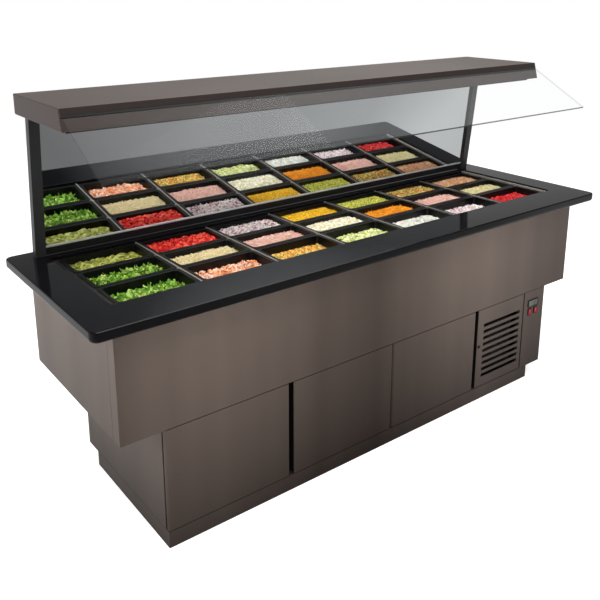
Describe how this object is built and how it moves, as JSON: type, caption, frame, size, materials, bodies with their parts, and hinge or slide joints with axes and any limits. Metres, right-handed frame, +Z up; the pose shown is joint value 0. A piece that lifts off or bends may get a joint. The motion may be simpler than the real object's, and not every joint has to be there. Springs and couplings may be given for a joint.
{
  "type": "refrigerated salad bar",
  "caption": "Refrigerated self-service salad bar with a cold well of food pans, mirror, canopy, clear sneeze guard, cupboards and a louvred machine bay.",
  "frame": {"origin": "on the floor under the middle of the counter", "axes": "+Z up, +X along the counter to the right as seen from the front, the front faces -Y"},
  "size_m": [2.612, 0.83, 1.535],
  "materials": {
    "bronze_paint": "satin bronze-brown powder coat",
    "dark_paint": "satin near-black paint",
    "black_slab": "polished black composite slab",
    "steel": "brushed stainless steel",
    "black_pan": "black moulded plastic with a soft sheen",
    "black_plastic": "fine-textured black plastic",
    "red_plastic": "translucent red rocker",
    "fin_stock": "thin fin stock",
    "mirror_glass": "silvered glass",
    "clear_glass": "clear toughened glass",
    "light_cover": "white light cover",
    "drain_brass": "turned brass",
    "lever_paint": "red dipped lever"
  },
  "bodies": {
    "frame": {"plinth": "bronze_paint", "base_floor": "bronze_paint", "base_ends": "bronze_paint", "base_back": "bronze_paint", "pull_channels": "dark_paint", "partitions": "bronze_paint", "door_pivots": "steel", "control_plate": "bronze_paint", "switch_bezels": "black_plastic", "thermostat": "black_plastic", "condenser": "fin_stock", "fan_shroud": "dark_paint", "fan_motor": "dark_paint", "compressor": "dark_paint", "casing_front": "bronze_paint", "casing_ends": "bronze_paint", "casing_back": "bronze_paint", "casing_bottom": "bronze_paint", "countertop": "black_slab", "tub": "steel", "drain_pipe": "drain_brass", "pan_rails": "steel", "pan_dividers": "steel", "posts": "dark_paint", "mirror": "mirror_glass", "mirror_back": "dark_paint", "canopy": "bronze_paint", "canopy_under": "bronze_paint", "light_bar": "light_cover", "sneeze_glass": "clear_glass"},
    "door_left": {"door_left": "bronze_paint"},
    "door_middle": {"door_middle": "bronze_paint"},
    "door_right": {"door_right": "bronze_paint"},
    "louvre_door": {"louvre_door": "bronze_paint"},
    "louvre_lock": {"louvre_lock": "steel"},
    "rocker_left": {"rocker_left": "red_plastic"},
    "rocker_right": {"rocker_right": "red_plastic"},
    "condenser_fan": {"condenser_fan": "black_plastic"},
    "drain_lever": {"drain_lever": "lever_paint"},
    "pan_front_1": {"pan_front_1": "black_pan"},
    "pan_front_2": {"pan_front_2": "black_pan"},
    "pan_front_3": {"pan_front_3": "black_pan"},
    "pan_front_4": {"pan_front_4": "black_pan"},
    "pan_front_5": {"pan_front_5": "black_pan"},
    "pan_front_6": {"pan_front_6": "black_pan"},
    "pan_front_7": {"pan_front_7": "black_pan"},
    "pan_middle_1": {"pan_middle_1": "black_pan"},
    "pan_middle_2": {"pan_middle_2": "black_pan"},
    "pan_middle_3": {"pan_middle_3": "black_pan"},
    "pan_middle_4": {"pan_middle_4": "black_pan"},
    "pan_middle_5": {"pan_middle_5": "black_pan"},
    "pan_middle_6": {"pan_middle_6": "black_pan"},
    "pan_middle_7": {"pan_middle_7": "black_pan"},
    "pan_back_1": {"pan_back_1": "black_pan"},
    "pan_back_2": {"pan_back_2": "black_pan"},
    "pan_back_3": {"pan_back_3": "black_pan"},
    "pan_back_4": {"pan_back_4": "black_pan"},
    "pan_back_5": {"pan_back_5": "black_pan"},
    "pan_back_6": {"pan_back_6": "black_pan"},
    "pan_back_7": {"pan_back_7": "black_pan"}
  },
  "joints": [
    {"name": "door_left_hinge", "type": "hinge", "parent": "frame", "child": "door_left", "pos_m": [-1.044, -0.333, 0.265], "axis": [0, 0, -1], "range_deg": [0, 85]},
    {"name": "door_middle_hinge", "type": "hinge", "parent": "frame", "child": "door_middle", "pos_m": [0.00133, -0.333, 0.265], "axis": [0, 0, 1], "range_deg": [0, 85]},
    {"name": "door_right_hinge", "type": "hinge", "parent": "frame", "child": "door_right", "pos_m": [0.02333, -0.333, 0.265], "axis": [0, 0, -1], "range_deg": [0, 85]},
    {"name": "louvre_hinge", "type": "hinge", "parent": "frame", "child": "louvre_door", "pos_m": [0.888, -0.333, 0.265], "axis": [0, 0, 1], "range_deg": [0, 85]},
    {"name": "lock_turn", "type": "hinge", "parent": "louvre_door", "child": "louvre_lock", "pos_m": [0.571, -0.333, 0.278], "axis": [0, 1, 0], "range_deg": [0, 90]},
    {"name": "rocker_left_tilt", "type": "hinge", "parent": "frame", "child": "rocker_left", "pos_m": [0.945, -0.3425, 0.355], "axis": [1, 0, 0], "range_deg": [-7, 7]},
    {"name": "rocker_right_tilt", "type": "hinge", "parent": "frame", "child": "rocker_right", "pos_m": [0.991, -0.3425, 0.355], "axis": [1, 0, 0], "range_deg": [-7, 7]},
    {"name": "fan_spin", "type": "hinge", "parent": "frame", "child": "condenser_fan", "pos_m": [0.728, -0.221, 0.205], "axis": [0, 1, 0], "continuous": true},
    {"name": "drain_turn", "type": "hinge", "parent": "frame", "child": "drain_lever", "pos_m": [-0.83733, -0.001, 0.423], "axis": [0, 1, 0], "range_deg": [0, 90]},
    {"name": "pan_front_1_lift", "type": "slide", "parent": "frame", "child": "pan_front_1", "axis": [0, 0, 1], "range_m": [0, 0.15]},
    {"name": "pan_front_2_lift", "type": "slide", "parent": "frame", "child": "pan_front_2", "axis": [0, 0, 1], "range_m": [0, 0.15]},
    {"name": "pan_front_3_lift", "type": "slide", "parent": "frame", "child": "pan_front_3", "axis": [0, 0, 1], "range_m": [0, 0.15]},
    {"name": "pan_front_4_lift", "type": "slide", "parent": "frame", "child": "pan_front_4", "axis": [0, 0, 1], "range_m": [0, 0.15]},
    {"name": "pan_front_5_lift", "type": "slide", "parent": "frame", "child": "pan_front_5", "axis": [0, 0, 1], "range_m": [0, 0.15]},
    {"name": "pan_front_6_lift", "type": "slide", "parent": "frame", "child": "pan_front_6", "axis": [0, 0, 1], "range_m": [0, 0.15]},
    {"name": "pan_front_7_lift", "type": "slide", "parent": "frame", "child": "pan_front_7", "axis": [0, 0, 1], "range_m": [0, 0.15]},
    {"name": "pan_middle_1_lift", "type": "slide", "parent": "frame", "child": "pan_middle_1", "axis": [0, 0, 1], "range_m": [0, 0.15]},
    {"name": "pan_middle_2_lift", "type": "slide", "parent": "frame", "child": "pan_middle_2", "axis": [0, 0, 1], "range_m": [0, 0.15]},
    {"name": "pan_middle_3_lift", "type": "slide", "parent": "frame", "child": "pan_middle_3", "axis": [0, 0, 1], "range_m": [0, 0.15]},
    {"name": "pan_middle_4_lift", "type": "slide", "parent": "frame", "child": "pan_middle_4", "axis": [0, 0, 1], "range_m": [0, 0.15]},
    {"name": "pan_middle_5_lift", "type": "slide", "parent": "frame", "child": "pan_middle_5", "axis": [0, 0, 1], "range_m": [0, 0.15]},
    {"name": "pan_middle_6_lift", "type": "slide", "parent": "frame", "child": "pan_middle_6", "axis": [0, 0, 1], "range_m": [0, 0.15]},
    {"name": "pan_middle_7_lift", "type": "slide", "parent": "frame", "child": "pan_middle_7", "axis": [0, 0, 1], "range_m": [0, 0.15]},
    {"name": "pan_back_1_lift", "type": "slide", "parent": "frame", "child": "pan_back_1", "axis": [0, 0, 1], "range_m": [0, 0.15]},
    {"name": "pan_back_2_lift", "type": "slide", "parent": "frame", "child": "pan_back_2", "axis": [0, 0, 1], "range_m": [0, 0.15]},
    {"name": "pan_back_3_lift", "type": "slide", "parent": "frame", "child": "pan_back_3", "axis": [0, 0, 1], "range_m": [0, 0.15]},
    {"name": "pan_back_4_lift", "type": "slide", "parent": "frame", "child": "pan_back_4", "axis": [0, 0, 1], "range_m": [0, 0.15]},
    {"name": "pan_back_5_lift", "type": "slide", "parent": "frame", "child": "pan_back_5", "axis": [0, 0, 1], "range_m": [0, 0.15]},
    {"name": "pan_back_6_lift", "type": "slide", "parent": "frame", "child": "pan_back_6", "axis": [0, 0, 1], "range_m": [0, 0.15]},
    {"name": "pan_back_7_lift", "type": "slide", "parent": "frame", "child": "pan_back_7", "axis": [0, 0, 1], "range_m": [0, 0.15]}
  ]
}
